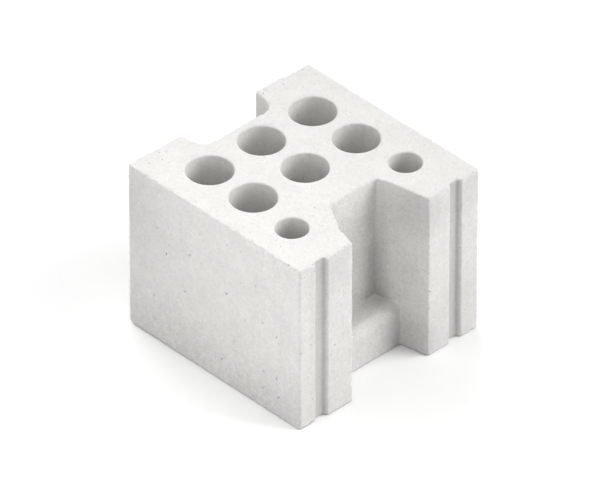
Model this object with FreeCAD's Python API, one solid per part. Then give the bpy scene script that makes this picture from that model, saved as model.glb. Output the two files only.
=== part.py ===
import FreeCAD, Part
import math
import os

from FreeCAD import Vector

# A sand-lime wall block, pressed as one piece, with blind holes that open at the top.
# Origin: middle of the bed face it stands on. +X: the end with the grip pocket, +Y: the far
# smooth face, +Z: up. All sizes are millimetres.

# Block
LENGTH = 250.0
THICKNESS = 248.0
HEIGHT = 198.0

# Worn edges: outer vertical corners, pocket mouths, top rim, bottom rim and hole rims
CORNER_WEAR = 2.4
MOUTH_WEAR = 2.2
TOP_WEAR = 1.8
BASE_WEAR = 1.2
HOLE_WEAR = 0.8

# Openings in the two ends: width at the face, and how far each side leans inwards
MOUTH_WIDTH = 105.2
SIDE_LEAN_DEG = 11.0

# Plain recess in the -X end, full height
RECESS_DEPTH = 31.6
RECESS_CORNER = 13.0

# Grip pocket in the +X end: how far its two side walls draw in from the mouth's edges at
# their bends and at the back wall, and where the bends lie
NEAR_BEND_INSET = 6.4
NEAR_BACK_INSET = 27.4
FAR_BACK_INSET = 14.6
NEAR_BEND_FROM_FACE = 23.0
FAR_BEND_FROM_BACK = 10.5
NEAR_BEND_RADIUS = 12.0
FAR_BEND_RADIUS = 8.0
INNER_FILLET = 1.5

# Ledge across the foot of the grip pocket, from its front to the pocket's back wall
LEDGE_FROM_FACE = 33.2
LEDGE_WIDTH = 27.8
LEDGE_HEIGHT = 51.0
LEDGE_NOSE = 8.0
LEDGE_FILLET = 6.0

# Upright mortar grooves in the +X end, one in each lug
GROOVE_MOUTH = 17.0
GROOVE_FLOOR = 9.4
GROOVE_DEPTH = 5.0
NEAR_GROOVE_FROM_FACE = 29.6
FAR_GROOVE_FROM_FACE = 33.4
GROOVE_WEAR = 1.4

# Strips of the end faces that stand back from the rest
GRIP_STRIP_BACK = 1.8
NEAR_STEP = 1.3
FAR_STEP = 2.8
STEP_RUN = 7.0
STEP_WEAR = 4.0

# Blind holes: two columns of three large ones, one column of two small ones
HOLE_RADIUS = 24.6
SMALL_RADIUS = 17.3
HOLE_FOOT = 5.0
DECK = 25.0
END_WEB = 8.0
COLUMN_WEB = 13.7
FACE_WEB = 28.2

# Overshoot of the cutting solids past the block's faces, the largest part of a side that one
# rounded corner may take up, and how closely an edge is found again by its place
OVER = 6.0
SIDE_SHARE = 0.45
SAME = 0.01

HALF_LENGTH = LENGTH / 2
HALF_THICKNESS = THICKNESS / 2
HALF_MOUTH = MOUTH_WIDTH / 2
LEAN = math.tan(math.radians(SIDE_LEAN_DEG))
LEDGE_X = HALF_LENGTH - LEDGE_FROM_FACE
BACK_X = LEDGE_X - LEDGE_WIDTH


def corner_cut(before, corner, after, radius):
    """Start, middle and end of the arc that rounds one corner of an outline."""
    to_before = (before - corner).normalize()
    to_after = (after - corner).normalize()
    half_angle = to_before.getAngle(to_after) / 2
    room = SIDE_SHARE * min(before.distanceToPoint(corner), after.distanceToPoint(corner))
    setback = min(radius / math.tan(half_angle), room)
    reach = setback / math.cos(half_angle) - setback * math.tan(half_angle)
    middle = corner + (to_before + to_after).normalize() * reach
    return corner + to_before * setback, middle, corner + to_after * setback


def rounded_face(corners):
    """A flat face whose outline runs through corners of (point, radius)."""
    points = [point for point, radius in corners]
    cuts = []
    for i, (point, radius) in enumerate(corners):
        following = points[(i + 1) % len(points)]
        if radius > 0:
            cuts.append(corner_cut(points[i - 1], point, following, radius))
        else:
            cuts.append((point, None, point))
    edges = []
    for i, (start, middle, end) in enumerate(cuts):
        if middle is not None:
            edges.append(Part.Arc(start, middle, end).toShape())
        edges.append(Part.makeLine(end, cuts[(i + 1) % len(cuts)][0]))
    return Part.Face(Part.Wire(edges))


def plan(x, y):
    return Vector(x, y, 0)


def groove_corners(centre, before_x, after_x):
    """The four corners of one groove in the +X end, going towards +Y."""
    floor_x = HALF_LENGTH - GROOVE_DEPTH
    return [
        (plan(before_x, centre - GROOVE_MOUTH / 2), GROOVE_WEAR),
        (plan(floor_x, centre - GROOVE_FLOOR / 2), GROOVE_WEAR),
        (plan(floor_x, centre + GROOVE_FLOOR / 2), GROOVE_WEAR),
        (plan(after_x, centre + GROOVE_MOUTH / 2), GROOVE_WEAR),
    ]


def footprint():
    """The block seen from above, without the grip pocket, anticlockwise from the near left."""
    near_groove = -HALF_THICKNESS + NEAR_GROOVE_FROM_FACE
    far_groove = HALF_THICKNESS - FAR_GROOVE_FROM_FACE
    strip_x = HALF_LENGTH - GRIP_STRIP_BACK
    recess_x = -HALF_LENGTH + RECESS_DEPTH
    recess_half = HALF_MOUTH - RECESS_DEPTH * LEAN
    near_inner_x = -HALF_LENGTH + NEAR_STEP
    far_outer_x = -HALF_LENGTH + FAR_STEP
    half_run = STEP_RUN / 2
    corners = [
        (plan(-HALF_LENGTH, -HALF_THICKNESS), CORNER_WEAR),
        (plan(strip_x, -HALF_THICKNESS), CORNER_WEAR),
    ]
    corners += groove_corners(near_groove, strip_x, HALF_LENGTH)
    corners += groove_corners(far_groove, HALF_LENGTH, HALF_LENGTH)
    corners += [
        (plan(HALF_LENGTH, HALF_THICKNESS), CORNER_WEAR),
        (plan(far_outer_x, HALF_THICKNESS), CORNER_WEAR),
        (plan(far_outer_x, far_groove + half_run), STEP_WEAR),
        (plan(-HALF_LENGTH, far_groove - half_run), STEP_WEAR),
        (plan(-HALF_LENGTH, HALF_MOUTH), MOUTH_WEAR),
        (plan(recess_x, recess_half), RECESS_CORNER),
        (plan(recess_x, -recess_half), RECESS_CORNER),
        (plan(near_inner_x, -HALF_MOUTH), MOUTH_WEAR),
        (plan(near_inner_x, near_groove + half_run), STEP_WEAR),
        (plan(-HALF_LENGTH, near_groove - half_run), STEP_WEAR),
    ]
    return rounded_face(corners)


def grip_plan():
    """The grip pocket seen from above, run out past the end face along its own sides."""
    out_x = HALF_LENGTH + OVER
    near_lean = NEAR_BEND_INSET / NEAR_BEND_FROM_FACE
    near_bend_x = HALF_LENGTH - NEAR_BEND_FROM_FACE
    far_bend_x = BACK_X + FAR_BEND_FROM_BACK
    far_bend_y = HALF_MOUTH - (HALF_LENGTH - far_bend_x) * LEAN
    corners = [
        (plan(out_x, -HALF_MOUTH - OVER * near_lean), 0),
        (plan(out_x, HALF_MOUTH + OVER * LEAN), 0),
        (plan(far_bend_x, far_bend_y), FAR_BEND_RADIUS),
        (plan(BACK_X, HALF_MOUTH - FAR_BACK_INSET), 0),
        (plan(BACK_X, NEAR_BACK_INSET - HALF_MOUTH), 0),
        (plan(near_bend_x, NEAR_BEND_INSET - HALF_MOUTH), NEAR_BEND_RADIUS),
    ]
    face = rounded_face(corners)
    face.translate(Vector(0, 0, -OVER))
    return face


def ledge_side():
    """The grip pocket seen along Y: open in front, stepped back over the rounded ledge."""
    out_x = HALF_LENGTH + 2 * OVER
    corners = [
        (Vector(out_x, 0, -OVER), 0),
        (Vector(LEDGE_X, 0, -OVER), 0),
        (Vector(LEDGE_X, 0, LEDGE_HEIGHT), LEDGE_NOSE),
        (Vector(BACK_X, 0, LEDGE_HEIGHT), LEDGE_FILLET),
        (Vector(BACK_X, 0, HEIGHT + OVER), 0),
        (Vector(out_x, 0, HEIGHT + OVER), 0),
    ]
    face = rounded_face(corners)
    face.translate(Vector(0, -HALF_THICKNESS, 0))
    return face


def meets_side_wall(edge):
    """True for an inner edge of the pocket that lies between a side wall and back or ledge."""
    box = edge.BoundBox
    inside = box.XMax < LEDGE_X + SAME
    along_y = box.XLength < SAME and box.ZLength < SAME
    upright = box.XLength < SAME and box.YLength < SAME
    on_step = abs(box.XMax - LEDGE_X) < SAME or abs(box.XMax - BACK_X) < SAME
    at_end = box.ZMin > HEIGHT + OVER - SAME or box.ZMax < SAME - OVER
    return inside and not along_y and not at_end and (on_step or not upright)


def grip_pocket():
    """The solid that is taken out of the +X end, with its inner corners filleted."""
    upright = grip_plan().extrude(Vector(0, 0, HEIGHT + 2 * OVER))
    across = ledge_side().extrude(Vector(0, THICKNESS, 0))
    pocket = upright.common(across)
    pocket = pocket.removeSplitter()
    corners = [edge for edge in pocket.Edges if meets_side_wall(edge)]
    return pocket.makeFillet(INNER_FILLET, corners)


def blind_hole(radius):
    """One hole's space: a straight pin with a bevelled foot and a worn rim, on the Z axis."""
    top = HEIGHT + OVER
    half_profile = rounded_face([
        (Vector(0, 0, DECK), 0),
        (Vector(radius - HOLE_FOOT, 0, DECK), 0),
        (Vector(radius, 0, DECK + HOLE_FOOT), 0),
        (Vector(radius, 0, HEIGHT - HOLE_WEAR), 0),
        (Vector(radius + HOLE_WEAR + OVER, 0, top), 0),
        (Vector(0, 0, top), 0),
    ])
    return half_profile.revolve(Vector(0, 0, 0), Vector(0, 0, 1), 360)


def hole_places():
    """Radius and centre of every hole, column by column from the -X end."""
    first_x = -HALF_LENGTH + RECESS_DEPTH + END_WEB + HOLE_RADIUS
    pitch = 2 * HOLE_RADIUS + COLUMN_WEB
    row_y = HALF_THICKNESS - FACE_WEB - HOLE_RADIUS
    small_y = HALF_THICKNESS - FACE_WEB - SMALL_RADIUS
    places = []
    for column in range(2):
        for y in (-row_y, 0, row_y):
            places.append((HOLE_RADIUS, plan(first_x + column * pitch, y)))
    for y in (-small_y, small_y):
        places.append((SMALL_RADIUS, plan(first_x + 2 * pitch, y)))
    return places


def mouth_edges(shape):
    """The two upright edges where the grip pocket's sides meet the end face."""
    found = []
    for edge in shape.Edges:
        box = edge.BoundBox
        upright = box.XLength < SAME and box.YLength < SAME
        at_face = abs(box.XMax - HALF_LENGTH) < SAME
        at_mouth = abs(abs(box.YMax) - HALF_MOUTH) < SAME
        if upright and at_face and at_mouth:
            found.append(edge)
    return found


def rim_edges(shape, z):
    """The outer outline of the flat face at height z."""
    for face in shape.Faces:
        box = face.BoundBox
        if box.ZLength < SAME and abs(box.ZMax - z) < SAME:
            return face.OuterWire.Edges
    return []


def wall_block():
    shape = footprint().extrude(Vector(0, 0, HEIGHT))
    shape = shape.cut(grip_pocket())
    shape = shape.makeFillet(MOUTH_WEAR, mouth_edges(shape))
    shape = shape.makeFillet(TOP_WEAR, rim_edges(shape, HEIGHT))
    shape = shape.makeFillet(BASE_WEAR, rim_edges(shape, 0))
    for radius, centre in hole_places():
        hole = blind_hole(radius)
        hole.translate(centre)
        shape = shape.cut(hole)
    return shape.Solids[0]


os.makedirs("parts", exist_ok=True)
block = wall_block()
print("valid", block.isValid(), "litres", round(block.Volume / 1e6, 3))
block.exportStep("parts/wall_block.step")
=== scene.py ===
import math

import bmesh
import bpy
from bpy.props import FloatProperty, FloatVectorProperty, IntProperty, PointerProperty
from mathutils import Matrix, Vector
from mathutils.bvhtree import BVHTree


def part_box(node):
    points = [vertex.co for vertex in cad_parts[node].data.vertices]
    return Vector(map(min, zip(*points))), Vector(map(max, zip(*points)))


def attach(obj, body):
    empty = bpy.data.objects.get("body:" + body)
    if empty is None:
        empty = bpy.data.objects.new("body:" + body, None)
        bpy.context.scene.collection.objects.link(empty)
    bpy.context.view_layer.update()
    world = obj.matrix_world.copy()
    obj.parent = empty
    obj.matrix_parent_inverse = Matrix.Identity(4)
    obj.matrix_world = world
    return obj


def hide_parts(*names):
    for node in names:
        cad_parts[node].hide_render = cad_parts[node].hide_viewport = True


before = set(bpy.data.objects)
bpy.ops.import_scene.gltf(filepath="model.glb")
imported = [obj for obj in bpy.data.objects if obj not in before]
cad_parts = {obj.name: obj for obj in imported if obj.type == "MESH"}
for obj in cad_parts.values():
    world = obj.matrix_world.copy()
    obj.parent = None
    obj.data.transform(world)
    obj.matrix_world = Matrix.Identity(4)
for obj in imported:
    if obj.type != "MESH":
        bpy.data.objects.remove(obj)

bl_info = {
    "name": "Sand-lime wall block",
    "version": (1, 0, 0),
    "blender": (4, 5, 0),
    "location": "3D View > Sidebar > Wall Block",
    "description": "Dresses a pressed wall block with worn edges, pores and a sandy finish",
    "category": "Object",
}

NODE = "wall_block"
MM = 0.001
LOW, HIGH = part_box(NODE)
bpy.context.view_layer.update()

# Corners that are knocked off: which corner of the block (-1 low, 1 high along X, Y and Z),
# how far the break leans to each axis, and how deep it is in millimetres
KNOCKS = (
    ((-1, -1, -1), (1.0, 0.7, 0.9), 4.2),
    ((1, 1, -1), (0.7, 1.0, 0.8), 2.6),
    ((1, -1, -1), (0.8, 0.8, 1.0), 1.6),
    ((1, 1, 1), (0.8, 0.7, 1.0), 2.8),
    ((1, -1, 1), (0.8, 0.8, 1.0), 2.6),
    ((-1, -1, 1), (0.8, 0.8, 1.0), 2.2),
)
BREAK_ROUGHNESS = 0.9 * MM

# Chips lie only past these distances from the middle, so that the rims of the holes stay clean.
# A chip's side is softer where the last value is larger
CHIPS_FROM_X = 88 * MM
CHIPS_FROM_Y = 98 * MM
CHIP_SOFTNESS = 0.08

# Bites out of the top's edges, in millimetres: place by X and Y, radius and depth
BITES = (
    (94.0, -42.5, 4.5, 1.5),
    (101.0, -45.5, 3.0, 1.2),
    (125.0, -102.5, 3.0, 1.3),
    (125.0, -85.5, 2.5, 0.9),
    (125.0, 83.0, 3.0, 1.2),
    (31.0, -124.0, 4.0, 1.0),
    (52.0, -124.0, 3.0, 0.9),
    (-14.0, -124.0, 4.0, 0.8),
    (-63.0, -124.0, 3.5, 0.8),
    (86.0, -124.0, 3.5, 1.0),
    (-120.0, 60.0, 3.5, 1.0),
)

# The pores that stand out in the photograph, in millimetres: on the near face by X and Z, on
# the top by X and Y, on the grip end by Y and Z, each with its radius
NEAR_PORES = (
    (-35, 133, 1.4), (20, 176, 0.9), (18, 114, 1.4), (-88, 54, 1.4),
    (11, 28, 1.4), (90, 99, 1.1), (72, 46, 1.2), (90, 47, 1.3),
    (71, 25, 1.3), (93, 25, 1.3), (-82, 142, 0.9), (-69, 116, 1.2),
    (-42, 84, 1.2), (29, 60, 0.9), (-37, 5, 0.9), (-86, 25, 1.1),
    (60, 146, 0.7), (70, 106, 0.9), (88, 193, 0.9), (106, 202, 0.9),
)
TOP_PORES = (
    (-113, -82, 0.8), (-117, -88, 0.7), (-106, -94, 0.8), (-110, -108, 0.7),
    (-114, 81, 0.8), (-118, 112, 0.8), (-117, 56, 0.9), (-91, -35, 0.7),
    (69, -105, 0.7), (79, -108, 0.7),
)
END_PORES = (
    (-123, 96, 0.8), (-123, 28, 0.8), (-122, 190, 0.6), (54, 81, 0.9),
    (53, 152, 0.8), (54, 128, 0.7), (53, 104, 0.7), (54, 60, 0.8), (53, 30, 0.9),
)

# How a pit is pressed in. For each unit of its radius: its longest edge, and how far from its
# middle the mesh is made fine. Then the most rounds of halving, and the power that shapes its bowl
PIT_EDGE = 0.5
PIT_BORDER = 1.25
PIT_ROUNDS = 9
PIT_POWER = 0.8

# Stains and painted shade that the photograph shows on upright faces, in millimetres: centre, reach
# and darkness, which is below nought for the one paler place, a painted patch of light
STAINS_AND_SHADE = (
    ((112, 45, 180), 50, 0.16),
    ((112, 35, 15), 48, 0.25),
    ((125, 115, 50), 70, 0.07),
    ((-115, -124, 150), 90, 0.07),
    ((90, -124, 0), 80, 0.05),
    ((100, -5, 50), 25, -0.12),
    ((125, -80, 185), 45, 0.09),
    ((125, 115, 185), 50, 0.09),
)

# The far inner corner of the grip pocket gets painted shade: where it stands, how far the shade
# reaches from it and its strength, the heights between which it fades, and its share above them
POCKET_CORNER = (63 * MM, 38 * MM, 0.0)
CORNER_REACH = 22 * MM
CORNER_SHADE = 0.34
CORNER_FADE = (70 * MM, 170 * MM)
CORNER_SHARE_ABOVE = 0.2

# Spans over which other marks fade: paler wear with a painted highlight from an upright corner, a
# painted contact shadow from the floor upwards along the lowest edge, and painted shade from the floor
# upwards on the near face. The near face's marks reach as far into the block as its skin is thick
WEAR_HIGHLIGHT_SPAN = (1.2 * MM, 4.0 * MM)
CONTACT_SHADOW_SPAN = (0.3 * MM, 2.2 * MM)
NEAR_SHADE_SPAN = (5.0 * MM, 75.0 * MM)
NEAR_SKIN = 3.0 * MM

# The mortar grooves, darkened with painted shade: how far the surface stands back from the grip end
# where the shade begins and is full, its limit, and the parts of each lug that hold a groove, from the
# middle
GROOVE_SHADE_SPAN = (1.0 * MM, 4.0 * MM)
GROOVE_LIMIT = 9.0 * MM
GROOVE_FROM = 60.0 * MM
GROOVE_TO = 110.0 * MM

# The grip pocket: its back, its half width and how far inside the grip end it begins
POCKET_BACK = 60.0 * MM
POCKET_HALF = 52.0 * MM
POCKET_MOUTH = 2.5 * MM

# The finish's own small features: the width of a sand grain and of a cell that may hold a
# pinhole, the share of cells without one, and the height of the bumps
SAND_SIZE = 1.9 * MM
PINHOLE_CELL = 6.5 * MM
EMPTY_CELLS = 0.55
BUMP_HEIGHT = 0.28 * MM

# The studio's soft square lights: azimuth from -Y towards +X and elevation in degrees, distance
# and size in metres, power in watts. The last six hang near the block. No light shows itself in
# the picture
LAMPS = {
    "right": (135, 30, 3.0, 2.0, 79.0),
    "right_low": (120, 20, 3.0, 1.6, 8.5),
    "right_high": (120, 50, 3.0, 2.0, 9.0),
    "back": (-120, 45, 3.0, 2.0, 28.0),
    "back_low": (-120, 20, 3.0, 1.6, 25.0),
    "left": (-90, 20, 3.0, 1.6, 31.0),
    "left_high": (-72, 49, 3.0, 1.8, 18.0),
    "corner": (45, 35, 1.04, 0.5, 1.0),
    "corner_low": (45, 17, 0.67, 0.3, 0.35),
    "near_top": (34, 73, 0.63, 0.3, 0.62),
    "near_left": (-10, 61, 0.63, 0.3, 0.62),
    "near_face": (6, 13, 0.52, 0.25, 0.5),
    "near_low": (11, 17, 0.85, 0.35, 0.66),
}

# The floor's half width and the camera's farthest view in metres, and the width of its sensor in
# millimetres
FLOOR_HALF = 30.0
FARTHEST_VIEW = 200.0
SENSOR_WIDTH = 36.0


def is_vector(value):
    """Whether a value or a socket holds three numbers."""
    if isinstance(value, Field):
        return value.socket.type == "VECTOR"
    return isinstance(value, (tuple, Vector))


class Field:
    """A socket that takes part in sums, so that node maths reads as maths."""

    def __init__(self, graph, socket):
        self.graph = graph
        self.socket = socket

    def combine(self, operation, first, second):
        """A sum of two values, of vectors if either is one."""
        vectors = is_vector(first) or is_vector(second)
        kind = "ShaderNodeVectorMath" if vectors else "ShaderNodeMath"
        return self.graph.add(kind, {"operation": operation}, first, second)

    def __add__(self, other):
        return self.combine("ADD", self, other)

    def __radd__(self, other):
        return self.combine("ADD", other, self)

    def __sub__(self, other):
        return self.combine("SUBTRACT", self, other)

    def __rsub__(self, other):
        return self.combine("SUBTRACT", other, self)

    def __mul__(self, other):
        return self.combine("MULTIPLY", self, other)

    def __rmul__(self, other):
        return self.combine("MULTIPLY", other, self)

    def __lt__(self, other):
        return self.combine("LESS_THAN", self, other)

    def __gt__(self, other):
        return self.combine("GREATER_THAN", self, other)

    def at_least(self, other):
        return self.combine("MAXIMUM", self, other)

    def dot(self, other):
        return self.combine("DOT_PRODUCT", self, other)

    def far_from(self, point):
        return self.combine("DISTANCE", self, point)

    def size(self):
        return self.graph.add("ShaderNodeMath", {"operation": "ABSOLUTE"}, self)

    def eased(self, start, end, low=0.0, high=1.0):
        """This value's run from start to end, eased at both ends, as low to high."""
        ease = {"interpolation_type": "SMOOTHSTEP"}
        return self.graph.add("ShaderNodeMapRange", ease, self, start, end, low, high)

    def fading(self, start, end, strength=1.0):
        """Full strength where this value is at start, eased to nothing where it is at end."""
        return self.eased(start, end, strength, 0.0)

    def parts(self):
        """The three parts of a vector."""
        node = self.graph.add("ShaderNodeSeparateXYZ", None, self).socket.node
        return [Field(self.graph, socket) for socket in node.outputs]


class Graph:
    """A node tree with one method that adds any node, and short forms for two textures."""

    def __init__(self, tree):
        self.tree = tree

    def add(self, kind, settings=None, *values, output=None, **named):
        """A node with its settings, then its sockets: in order, or by name with _ for a space."""
        node = self.tree.nodes.new(kind)
        for name, value in (settings or {}).items():
            setattr(node, name, value)
        sockets = [socket for socket in node.inputs if socket.enabled]
        for socket, value in zip(sockets, values):
            self.feed(socket, value)
        for name, value in named.items():
            wanted = name.replace("_", " ")
            self.feed(next(socket for socket in sockets if socket.name == wanted), value)
        given = [socket for socket in node.outputs if socket.enabled]
        if output is not None:
            given = [socket for socket in given if socket.name == output]
        return Field(self, given[0]) if given else node

    def feed(self, socket, value):
        """Links or sets one socket."""
        if isinstance(value, Field):
            self.tree.links.new(value.socket, socket)
        elif socket.type == "VECTOR" and not is_vector(value):
            socket.default_value = (value, value, value)
        else:
            socket.default_value = value

    def noise(self, position, grain, detail=2.0, roughness=0.5):
        """Cloudy noise from 0 to 1 whose lumps are about grain millimetres wide."""
        return self.add("ShaderNodeTexNoise", None, position,
                        Scale=1.0 / (grain * MM), Detail=detail, Roughness=roughness)

    def cells(self, position, width, output):
        """Irregular cells of about a width: the distance from their middles, or their colours."""
        return self.add("ShaderNodeTexVoronoi", None, position, output=output, Scale=1 / width)


class WearSettings(bpy.types.PropertyGroup):
    """How the pressed block's edges and corners have worn."""

    grid: FloatProperty(name="Grid", description="Spacing of the points that the wear moves",
                        default=0.8 * MM, min=0.5 * MM, unit="LENGTH")
    rounding: IntProperty(name="Rounding", description="How far an edge's wear reaches",
                          default=7, min=1, max=60)
    edge_wear: FloatProperty(name="Edge wear", description="Most that an edge is worn back",
                             default=0.6, min=0.0, max=1.0, subtype="FACTOR")
    chip_reach: IntProperty(name="Chip reach", description="How far a chip reaches from its edge",
                            default=22, min=1, max=80)
    chip_share: FloatProperty(name="Chips", description="Share of the edges with a chip",
                              default=0.55, min=0.0, max=1.0, subtype="FACTOR")
    unevenness: FloatProperty(name="Unevenness", description="Height of the waves in flat faces",
                              default=0.03 * MM, min=0.0, unit="LENGTH")
    keep: FloatProperty(name="Kept detail", description="Share of the fine mesh that is kept",
                        default=0.045, min=0.02, max=1.0, subtype="FACTOR")


class PoreSettings(bpy.types.PropertyGroup):
    """Small air pores in the surface."""

    density: FloatProperty(name="Density", description="Pores on each square metre",
                           default=420.0, min=0.0)
    smallest: FloatProperty(name="Smallest", description="Radius of the smallest pores",
                            default=0.35 * MM, min=0.1 * MM, unit="LENGTH")
    largest: FloatProperty(name="Largest", description="Radius of the largest scattered pores",
                           default=0.8 * MM, min=0.1 * MM, unit="LENGTH")
    depth: FloatProperty(name="Depth", description="Depth of a pore for each unit of its radius",
                         default=2.8, min=0.0, max=4.0)
    seed: IntProperty(name="Seed", description="Picks where the scattered pores lie", default=11)


class FinishSettings(bpy.types.PropertyGroup):
    """Colour and grain of sand-lime."""

    colour: FloatVectorProperty(name="Colour", description="Colour of the clean surface",
                                default=(0.626, 0.62, 0.603), subtype="COLOR", min=0.0, max=1.0)
    mottling: FloatProperty(name="Mottling", description="Strength of the cloudy patches",
                            default=0.065, min=0.0, max=1.0, subtype="FACTOR")
    streaks: FloatProperty(name="Press marks", description="Strength of the upright streaks",
                           default=0.06, min=0.0, max=1.0, subtype="FACTOR")
    grain: FloatProperty(name="Grain", description="Strength of the sand grain",
                         default=0.16, min=0.0, max=1.0, subtype="FACTOR")
    specks: FloatProperty(name="Specks", description="How dark the pinholes are",
                          default=0.45, min=0.0, max=1.0, subtype="FACTOR")
    # Paler upright corners: partly lighter wear, partly a painted highlight along the corner
    wear_and_highlight: FloatProperty(name="Paleness", description="How much paler the upright corners are",
                            default=0.6, min=0.0, max=1.0, subtype="FACTOR")
    # The mortar grooves' darkening is painted shade
    groove_shade: FloatProperty(name="Groove shade", description="How much darker the mortar grooves are",
                         default=0.2, min=0.0, max=1.0, subtype="FACTOR")
    # The lowest edge's darkening is a painted contact shadow
    foot: FloatProperty(name="Foot", description="How much darker the lowest edge is",
                        default=0.35, min=0.0, max=1.0, subtype="FACTOR")
    # The near face's darker foot is painted shade
    near_face_shade: FloatProperty(name="Near face shade", description="How much darker the foot of the near face is",
                        default=0.08, min=0.0, max=1.0, subtype="FACTOR")


class StageSettings(bpy.types.PropertyGroup):
    """Floor, light and camera."""

    floor: FloatVectorProperty(name="Floor", description="Colour of the floor",
                               default=(0.92, 0.92, 0.92), subtype="COLOR", min=0.0, max=1.0)
    light: FloatProperty(name="Light", description="Brightness of all lights together",
                         default=1.0, min=0.0)
    azimuth: FloatProperty(name="Azimuth", description="Camera's turn round the block from -Y",
                           default=math.radians(46.15), subtype="ANGLE")
    elevation: FloatProperty(name="Elevation", description="Camera's height above the horizon",
                             default=math.radians(37.17), subtype="ANGLE")
    distance: FloatProperty(name="Distance", description="From the camera to the block's middle",
                            default=12.024, min=1.0, unit="LENGTH")
    aside: FloatProperty(name="Aside", description="How far the camera stands to the left",
                         default=3.61 * MM, unit="LENGTH")
    below: FloatProperty(name="Below", description="How far the camera stands below its line",
                         default=1.81 * MM, unit="LENGTH")
    lens: FloatProperty(name="Lens", description="Focal length in millimetres",
                        default=720.0, min=1.0)


class BlockSettings(bpy.types.PropertyGroup):
    """All that can be changed on the wall block and its stage."""

    wear: PointerProperty(type=WearSettings)
    pores: PointerProperty(type=PoreSettings)
    finish: PointerProperty(type=FinishSettings)
    stage: PointerProperty(type=StageSettings)


def add_object(name, data):
    """A new object with its data, in the scene."""
    thing = bpy.data.objects.new(name, data)
    bpy.context.scene.collection.objects.link(thing)
    return thing


def bake(thing):
    """Replaces an object's mesh by what its modifiers make of it, and removes them."""
    view = bpy.context.evaluated_depsgraph_get()
    made = bpy.data.meshes.new_from_object(thing.evaluated_get(view), depsgraph=view)
    thing.modifiers.clear()
    thing.data = made


def merged_copy(node):
    """A closed mesh with the shape of a CAD node, whose own triangles are loose."""
    shape = bmesh.new()
    shape.from_mesh(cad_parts[node].data)
    bmesh.ops.remove_doubles(shape, verts=shape.verts, dist=0.001 * MM)
    mesh = bpy.data.meshes.new(node + "_dressed")
    shape.to_mesh(mesh)
    shape.free()
    mesh.materials.clear()
    return mesh


def painted_groove_shade(x, y):
    """Where painted shade darkens the mortar grooves."""
    sunk = HIGH.x - x
    beside_groove = (y.size() > GROOVE_FROM) * (y.size() < GROOVE_TO)
    return sunk.eased(*GROOVE_SHADE_SPAN) * (sunk < GROOVE_LIMIT) * beside_groove


def inside_pocket(x, y):
    """Where the surface belongs to the grip pocket."""
    return (x > POCKET_BACK) * (HIGH.x - x > POCKET_MOUTH) * (y.size() < POCKET_HALF)


def stains_and_shade(place, z):
    """How much darker the pocket's far corner is under painted shade, and the listed places under
    stain and painted shade.
    """
    from_corner = (place * (1.0, 1.0, 0.0)).far_from(POCKET_CORNER)
    corner_shade = from_corner.fading(0.0, CORNER_REACH, CORNER_SHADE)
    low_down = z.eased(*CORNER_FADE, 1.0, CORNER_SHARE_ABOVE)
    spots = (place.far_from(Vector(centre) * MM).fading(0.0, reach * MM, darkness)
             for centre, reach, darkness in STAINS_AND_SHADE)
    return sum(spots, corner_shade * low_down)


def pinholes(graph, place):
    """Small dark holes: some cells hold one, and each has its own width."""
    from_middle = graph.cells(place, PINHOLE_CELL, "Distance")
    pick = graph.cells(place, PINHOLE_CELL, "Color").parts()[0]
    width = pick.eased(EMPTY_CELLS, 1.0, 0.0, 0.1)
    return (from_middle - width).fading(-0.02, 0.02) * (pick > EMPTY_CELLS)


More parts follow.
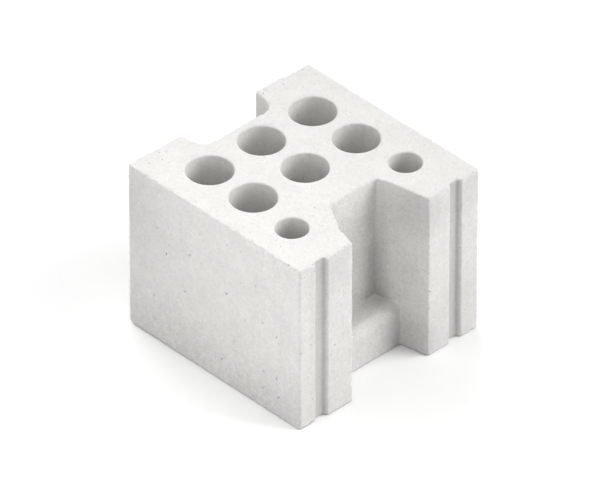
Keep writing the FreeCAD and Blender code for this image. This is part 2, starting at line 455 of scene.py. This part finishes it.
def sand_lime(finish):
    """Matt off-white sand-lime: cloudy, with press marks on upright faces, grains and pinholes."""
    material = bpy.data.materials.new("sand_lime")
    material.use_nodes = True
    graph = Graph(material.node_tree)
    shader = material.node_tree.nodes["Principled BSDF"]
    place = graph.add("ShaderNodeTexCoord", None, output="Object")
    facing = graph.add("ShaderNodeNewGeometry", None, output="Normal")
    x, y, z = place.parts()
    upright = facing.parts()[2].size().fading(0.2, 0.6)

    # Marks that keep to one place: paler worn corners with a painted highlight, and painted shade
    from_corner = HIGH.x - x.size() + (HIGH.y - y.size())
    pale_wear_and_highlight = from_corner.fading(*WEAR_HIGHLIGHT_SPAN) * finish.wear_and_highlight
    groove_shading = painted_groove_shade(x, y) * upright * finish.groove_shade
    contact_shadow = z.fading(*CONTACT_SHADOW_SPAN) * finish.foot
    near_foot_shade = z.fading(*NEAR_SHADE_SPAN) * (y < LOW.y + NEAR_SKIN)

    # Patterns over the whole block: a noise less 0.5 swings by half, so two strengths are doubled
    clouds = graph.noise(place, 34, detail=3.0, roughness=0.6) - 0.5
    blotches = graph.noise(place, 12, roughness=0.6) - 0.5
    drawn = place * (1.0, 1.0, 0.045)
    streaks = (graph.noise(drawn, 4.5, detail=3.0, roughness=0.6) - 0.5) * upright
    streak_patches = graph.noise(place, 60, detail=1.0).eased(0.35, 0.65)
    rough = 1.0 + upright * 0.25 + inside_pocket(x, y)
    grain = (graph.noise(place, 1.5, roughness=0.65) - 0.5) * rough
    coarse = (graph.noise(place, 4.5, roughness=0.6) - 0.5) * rough
    sand = graph.cells(place, SAND_SIZE, "Color").parts()
    dark_grain = sand[0].eased(0.86, 0.9)
    light_grain = sand[1].eased(0.88, 0.92)
    pits = pinholes(graph, place)

    tone = 1.0 + (clouds + blotches * 0.7) * (finish.mottling * 2)
    tone = tone + streaks * streak_patches * (finish.streaks * 2)
    # The upright corners are made paler: partly wear, partly a painted highlight
    tone = tone + (grain + coarse * 0.75) * finish.grain + pale_wear_and_highlight * (0.8 + coarse)
    tone = tone + (light_grain * 0.25 - dark_grain * 0.35) * finish.grain
    # Painted shade darkens the mortar grooves, and a painted contact shadow darkens the lowest edge
    tone = tone * (1.0 - pits * finish.specks) * (1.0 - groove_shading) * (1.0 - contact_shadow)
    # Painted shade in the pocket's far corner, and stain, painted shade and one painted patch of light
    # at the listed places
    tone = tone * (1.0 - stains_and_shade(place, z) * upright)
    # Painted shade darkens the near face towards the floor, broken up by the grain
    tone = tone * (1.0 - near_foot_shade * (finish.near_face_shade - (grain + coarse) * finish.grain))
    colour = graph.add("ShaderNodeVectorMath", {"operation": "MULTIPLY"}, tuple(finish.colour), tone)
    graph.feed(shader.inputs["Base Color"], colour)

    height = grain * 0.5 + coarse * 0.5 + light_grain * 0.15 - dark_grain * 0.2 - pits * 1.2
    bump = graph.add("ShaderNodeBump", None, Strength=0.5, Distance=BUMP_HEIGHT, Height=height)
    graph.feed(shader.inputs["Normal"], bump)
    graph.feed(shader.inputs["Roughness"], 0.88 + grain * 0.12)
    shader.inputs["Specular IOR Level"].default_value = 0.25
    return material


def new_tree(name, inputs):
    """A geometry tree with a mesh in and out and named inputs: its graph, and what comes in."""
    tree = bpy.data.node_groups.new(name, "GeometryNodeTree")
    tree.interface.new_socket("Geometry", in_out="OUTPUT", socket_type="NodeSocketGeometry")
    for label, kind in {"Geometry": "Geometry", **inputs}.items():
        tree.interface.new_socket(label, in_out="INPUT", socket_type="NodeSocket" + kind)
    graph = Graph(tree)
    start = tree.nodes.new("NodeGroupInput")
    given = {socket.name: Field(graph, socket) for socket in start.outputs if socket.name}
    return graph, given


def edge_pull(graph, place, facing, reach):
    """How far blurring draws in the edges that stick out. It is nothing elsewhere."""
    blur = {"data_type": "FLOAT_VECTOR"}
    pull = graph.add("GeometryNodeBlurAttribute", blur, place, reach) - place
    return pull * (pull.dot(facing) < 0.0)


def knocked(graph, place, corner, lean, depth):
    """How far each point is pushed in by one broken corner."""
    tip = Vector(HIGH[i] if side > 0 else LOW[i] for i, side in enumerate(corner))
    inward = Vector(-side * share for side, share in zip(corner, lean)).normalized()
    rough = (graph.noise(place, 3.0, detail=3.0) - 0.5) * BREAK_ROUGHNESS
    beyond = depth * MM - (place - tip).dot(inward) + rough
    return beyond.at_least(0.0) * inward


def wear_tree():
    """Worn edges, chips, broken corners and slightly uneven faces on any fine closed mesh."""
    graph, given = new_tree("Pressed block wear", {
        "Rounding": "Int",
        "Edge wear": "Float",
        "Chip reach": "Int",
        "Chips": "Float",
        "Unevenness": "Float",
        "Material": "Material",
    })
    place = graph.add("GeometryNodeInputPosition")
    facing = graph.add("GeometryNodeInputNormal", None, output="Normal")

    patches = graph.noise(place, 9, detail=3.0, roughness=0.6).eased(0.3, 0.7, 0.25, 1.0)
    wear = edge_pull(graph, place, facing, given["Rounding"]) * (patches * given["Edge wear"])
    worn = graph.add("GeometryNodeSetPosition", None, given["Geometry"], Offset=wear)

    # A chip shows where the spots rise over an edge, which a larger share of chips lowers
    spots = graph.noise(place, 4.5, roughness=0.55) + graph.noise(place, 40, detail=1.0) * 0.5
    chip_edge = 0.98 - given["Chips"] * 0.3
    x, y, _ = place.parts()
    off_the_holes = (x.size() > CHIPS_FROM_X).at_least(y.size() > CHIPS_FROM_Y)
    chips = spots.eased(chip_edge, chip_edge + CHIP_SOFTNESS) * off_the_holes
    chipping = edge_pull(graph, place, facing, given["Chip reach"]) * chips
    chipped = graph.add("GeometryNodeSetPosition", None, worn, Offset=chipping)

    push = sum(knocked(graph, place, *knock) for knock in KNOCKS)
    broken = graph.add("GeometryNodeSetPosition", None, chipped, Offset=push)

    waves = (graph.noise(place, 16, detail=3.0, roughness=0.6) - 0.5) * given["Unevenness"]
    uneven = graph.add("GeometryNodeSetPosition", None, broken, Offset=facing * waves)
    whole = graph.add("GeometryNodeRealizeInstances", None, uneven)
    dressed = graph.add("GeometryNodeSetMaterial", None, whole, Material=given["Material"])
    graph.add("NodeGroupOutput", None, dressed)
    return graph.tree


def scatter_tree():
    """Points on a mesh where pores lie, each with its radius."""
    graph, given = new_tree("Pore places", {
        "Density": "Float",
        "Smallest": "Float",
        "Largest": "Float",
        "Seed": "Int",
    })
    points = graph.add("GeometryNodeDistributePointsOnFaces", None, given["Geometry"],
                       Density=given["Density"], Seed=given["Seed"])
    share = graph.add("FunctionNodeRandomValue", None, 0.0, 1.0, Seed=given["Seed"])
    radius = given["Smallest"] + (given["Largest"] - given["Smallest"]) * share * share
    named = graph.add("GeometryNodeStoreNamedAttribute", {"data_type": "FLOAT"}, points,
                      Name="pore_radius", Value=radius)
    corners = graph.add("GeometryNodePointsToVertices", None, named)
    graph.add("NodeGroupOutput", None, corners)
    return graph.tree


def apply_tree(thing, tree, values):
    """Puts a node tree on an object and sets its named inputs."""
    modifier = thing.modifiers.new(tree.name, "NODES")
    modifier.node_group = tree
    for item in tree.interface.items_tree:
        if item.in_out == "INPUT" and item.name in values:
            modifier[item.identifier] = values[item.name]


def scattered_pores(block, pores):
    """Centre and radius of each scattered pore."""
    cloud = add_object("pore_places", block.data)
    apply_tree(cloud, scatter_tree(), {
        "Density": pores.density,
        "Smallest": pores.smallest,
        "Largest": pores.largest,
        "Seed": pores.seed,
    })
    view = bpy.context.evaluated_depsgraph_get()
    made = cloud.evaluated_get(view).to_mesh()
    radii = made.attributes["pore_radius"].data
    found = [(vertex.co.copy(), radii[i].value) for i, vertex in enumerate(made.vertices)]
    bpy.data.objects.remove(cloud)
    return found


def photographed_pores():
    """Centre and radius of each pore that the photograph shows."""
    found = [(Vector((x, LOW.y / MM, z)), radius) for x, z, radius in NEAR_PORES]
    found += [(Vector((x, y, HIGH.z / MM)), radius) for x, y, radius in TOP_PORES]
    found += [(Vector((HIGH.x / MM, y, z)), radius) for y, z, radius in END_PORES]
    return [(centre * MM, radius * MM) for centre, radius in found]


def bites():
    """Centre, radius and depth of each bite out of the top's edges."""
    return [(Vector((x * MM, y * MM, HIGH.z)), radius * MM, deep * MM) for x, y, radius, deep in BITES]


def searchable(shape):
    """A search tree over the mesh as it is now."""
    shape.faces.index_update()
    shape.faces.ensure_lookup_table()
    return BVHTree.FromBMesh(shape)


def refine_round(shape, places):
    """Halves the long edges of the faces in and beside each pit. False when all are short."""
    surface = searchable(shape)
    cut = set()
    for centre, radius in places:
        longest = PIT_EDGE * radius
        for _, _, index, _ in surface.find_nearest_range(centre, PIT_BORDER * radius):
            for edge in shape.faces[index].edges:
                if edge.calc_length() > longest:
                    cut.add(edge)
    if not cut:
        return False
    bmesh.ops.subdivide_edges(shape, edges=list(cut), cuts=1)
    bmesh.ops.triangulate(shape, faces=[face for face in shape.faces if len(face.verts) > 3])
    return True


def dig(block, pits):
    """Presses a round pit of a given centre, radius and depth into the mesh at each place."""
    shape = bmesh.new()
    shape.from_mesh(block.data)
    bmesh.ops.triangulate(shape, faces=shape.faces[:])
    surface = searchable(shape)
    seated = []
    for centre, radius, deep in pits:
        place, facing, _, _ = surface.find_nearest(centre)
        seated.append((place, facing, radius, deep))
    places = [(place, radius) for place, _, radius, _ in seated]
    for _ in range(PIT_ROUNDS):
        if not refine_round(shape, places):
            break
    surface = searchable(shape)
    for place, facing, radius, deep in seated:
        near = {vertex for _, _, index, _ in surface.find_nearest_range(place, radius)
                for vertex in shape.faces[index].verts}
        for vertex in near:
            out = (vertex.co - place).length / radius
            if out < 1:
                vertex.co -= facing * (deep * (1 - out * out) ** PIT_POWER)
    shape.to_mesh(block.data)
    shape.free()


class WALLBLOCK_OT_block(bpy.types.Operator):
    """Build the dressed block from the CAD block: worn edges, chips, pores and sandy finish"""

    bl_idname = "wallblock.build_block"
    bl_label = "Build the block"

    def execute(self, context):
        settings = context.scene.wall_block
        wear = settings.wear
        block = add_object("pressed_block", merged_copy(NODE))
        if not block.data.polygons:
            raise RuntimeError("the CAD block has no faces to dress")
        grid = block.modifiers.new("Even grid", "REMESH")
        grid.mode = "VOXEL"
        grid.voxel_size = wear.grid
        apply_tree(block, wear_tree(), {
            "Rounding": wear.rounding,
            "Edge wear": wear.edge_wear,
            "Chip reach": wear.chip_reach,
            "Chips": wear.chip_share,
            "Unevenness": wear.unevenness,
            "Material": sand_lime(settings.finish),
        })
        fewer = block.modifiers.new("Fewer faces", "DECIMATE")
        fewer.ratio = wear.keep
        bake(block)
        pores = photographed_pores() + scattered_pores(block, settings.pores)
        depth = settings.pores.depth
        dig(block, bites() + [(place, radius, radius * depth) for place, radius in pores])
        block.data.shade_smooth()
        block.modifiers.new("Face normals", "WEIGHTED_NORMAL")
        bake(block)
        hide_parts(NODE)
        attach(block, "root")
        return {"FINISHED"}


def soft_light(name, place, aim, size, power):
    """A square light that hangs at a place and shines at a point."""
    data = bpy.data.lights.new(name, "AREA")
    data.shape = "SQUARE"
    data.size = size
    data.energy = power
    light = add_object(name, data)
    light.location = place
    light.rotation_mode = "QUATERNION"
    light.rotation_quaternion = (aim - place).to_track_quat("-Z", "Y")


def away(turn, rise):
    """The direction at an azimuth from -Y and an elevation, both in radians."""
    level = Vector((math.sin(turn), -math.cos(turn), 0.0))
    return level * math.cos(rise) + Vector((0.0, 0.0, math.sin(rise)))


def pale_floor(colour):
    """A wide plain floor under the block."""
    half = FLOOR_HALF
    mesh = bpy.data.meshes.new("floor")
    corners = [(-half, -half, 0), (half, -half, 0), (half, half, 0), (-half, half, 0)]
    mesh.from_pydata(corners, [], [(0, 1, 2, 3)])
    material = bpy.data.materials.new("pale_floor")
    material.use_nodes = True
    shader = material.node_tree.nodes["Principled BSDF"]
    shader.inputs["Base Color"].default_value = (*colour, 1.0)
    shader.inputs["Roughness"].default_value = 1.0
    shader.inputs["Specular IOR Level"].default_value = 0.0
    mesh.materials.append(material)
    add_object("floor", mesh)


def photo_camera(stage, middle):
    """A long lens at the photograph's angle, moved sideways to its framing."""
    back = away(stage.azimuth, stage.elevation)
    right = Vector((math.cos(stage.azimuth), math.sin(stage.azimuth), 0))
    up = back.cross(right)
    data = bpy.data.cameras.new("photo_camera")
    data.lens = stage.lens
    data.sensor_width = SENSOR_WIDTH
    data.clip_end = FARTHEST_VIEW
    camera = add_object("photo_camera", data)
    camera.location = middle + back * stage.distance - right * stage.aside - up * stage.below
    camera.rotation_mode = "QUATERNION"
    camera.rotation_quaternion = (-back).to_track_quat("-Z", "Y")
    bpy.context.scene.camera = camera


class WALLBLOCK_OT_stage(bpy.types.Operator):
    """Set the pale floor, the soft studio light and the camera"""

    bl_idname = "wallblock.set_stage"
    bl_label = "Set the stage"

    def execute(self, context):
        if abs(LOW.z) > MM:
            raise RuntimeError("the block doesn't stand on the floor")
        stage = context.scene.wall_block.stage
        middle = Vector((0, 0, HIGH.z / 2))
        pale_floor(stage.floor)
        for name, (azimuth, elevation, distance, size, power) in LAMPS.items():
            place = middle + away(math.radians(azimuth), math.radians(elevation)) * distance
            soft_light(name, place, middle, size, power * stage.light)
        context.scene.view_settings.view_transform = "Standard"
        photo_camera(stage, middle)
        return {"FINISHED"}


class WALLBLOCK_PT_panel(bpy.types.Panel):
    """Lists what can be built and changed"""

    bl_label = "Wall Block"
    bl_idname = "WALLBLOCK_PT_panel"
    bl_space_type = "VIEW_3D"
    bl_region_type = "UI"
    bl_category = "Wall Block"

    def draw(self, context):
        settings = context.scene.wall_block
        for group in (settings.wear, settings.pores, settings.finish, settings.stage):
            box = self.layout.box()
            for name in group.bl_rna.properties.keys():
                if name not in ("rna_type", "name"):
                    box.prop(group, name)
        self.layout.operator(WALLBLOCK_OT_block.bl_idname)
        self.layout.operator(WALLBLOCK_OT_stage.bl_idname)


CLASSES = (
    WearSettings,
    PoreSettings,
    FinishSettings,
    StageSettings,
    BlockSettings,
    WALLBLOCK_OT_block,
    WALLBLOCK_OT_stage,
    WALLBLOCK_PT_panel,
)


def register():
    for one in CLASSES:
        bpy.utils.register_class(one)
    bpy.types.Scene.wall_block = PointerProperty(type=BlockSettings)


def unregister():
    del bpy.types.Scene.wall_block
    for one in reversed(CLASSES):
        bpy.utils.unregister_class(one)


def main():
    register()
    bpy.ops.wallblock.build_block()
    bpy.ops.wallblock.set_stage()


if __name__ == "__main__":
    main()
